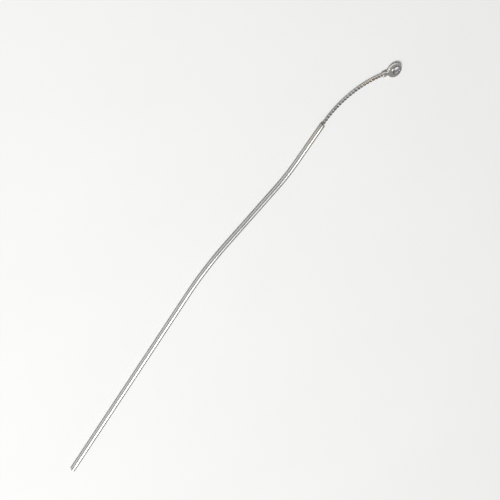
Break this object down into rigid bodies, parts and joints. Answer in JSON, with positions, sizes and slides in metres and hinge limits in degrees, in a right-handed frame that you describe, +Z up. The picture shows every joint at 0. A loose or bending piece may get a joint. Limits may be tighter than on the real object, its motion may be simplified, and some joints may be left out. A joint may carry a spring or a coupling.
{
  "type": "inoculating loop",
  "caption": "Hand tool with a slim sleeve handle set in a shallow S, and a twisted wire needle that carries a flat ring with an eye.",
  "frame": {"origin": "on the handle's axis at the rear end of the sleeve", "axes": "+X along the straight grip towards the loop; +Z up, out of the plane that the tool is set in and the ring lies in"},
  "size_m": [0.2618, 0.0404, 0.0026],
  "materials": {
    "sleeve": "satin stainless tube, drawn lines along it",
    "bush": "waxy low-friction plastic",
    "core": "drawn",
    "plug": "turned stainless",
    "ferrule": "turned",
    "drag_ring": "matt",
    "wire": "drawn nickel-chrome, slightly heat-darkened",
    "barrel": "bright nickel plate",
    "ring": "bright nickel plate",
    "eyelet": "polished"
  },
  "bodies": {
    "handle": {"handle_sleeve": "sleeve", "mouth_bush": "bush", "core_rod": "core", "tail_plug": "plug"},
    "slider": {"drag_ring": "drag_ring"},
    "needle": {"stop_ferrule": "ferrule", "wire_strand_a": "wire", "wire_strand_b": "wire", "crimp_barrel": "barrel", "loop_ring": "ring", "loop_eyelet": "eyelet"}
  },
  "joints": [
    {"name": "needle_reach", "type": "slide", "parent": "handle", "child": "slider", "axis": [0.9995, -0.0332, 0], "range_m": [0, 0.008]},
    {"name": "needle_turn", "type": "hinge", "parent": "slider", "child": "needle", "pos_m": [0.21659, -0.01373, 0], "axis": [-0.9995, 0.0332, 0], "continuous": true}
  ]
}
